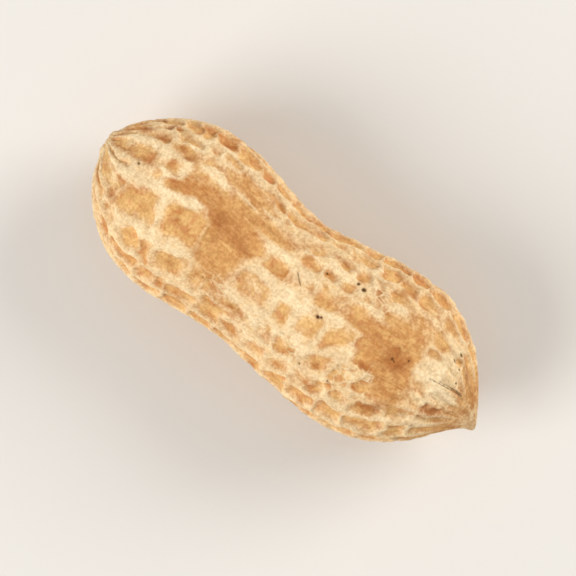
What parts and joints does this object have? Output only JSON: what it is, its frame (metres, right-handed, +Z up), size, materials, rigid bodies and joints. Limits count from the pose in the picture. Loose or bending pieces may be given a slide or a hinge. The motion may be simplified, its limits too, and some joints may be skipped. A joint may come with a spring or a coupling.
{
  "type": "peanut",
  "caption": "Peanut in its dry shell: a waisted pod with a raised net of ribs and veins, a stalk scar at one end and a small hooked beak at the other.",
  "frame": {"origin": "middle of the pod's box, at the level of the flat spots that it rests on", "axes": "+X along the pod from its stem end to its beak, +Z up as it lies on its side"},
  "size_m": [0.0422, 0.017, 0.0154],
  "materials": {
    "dry_shell": "dry, fibrous, matt straw brown"
  },
  "bodies": {
    "root": {"peanut_pod": "dry_shell"}
  },
  "joints": []
}
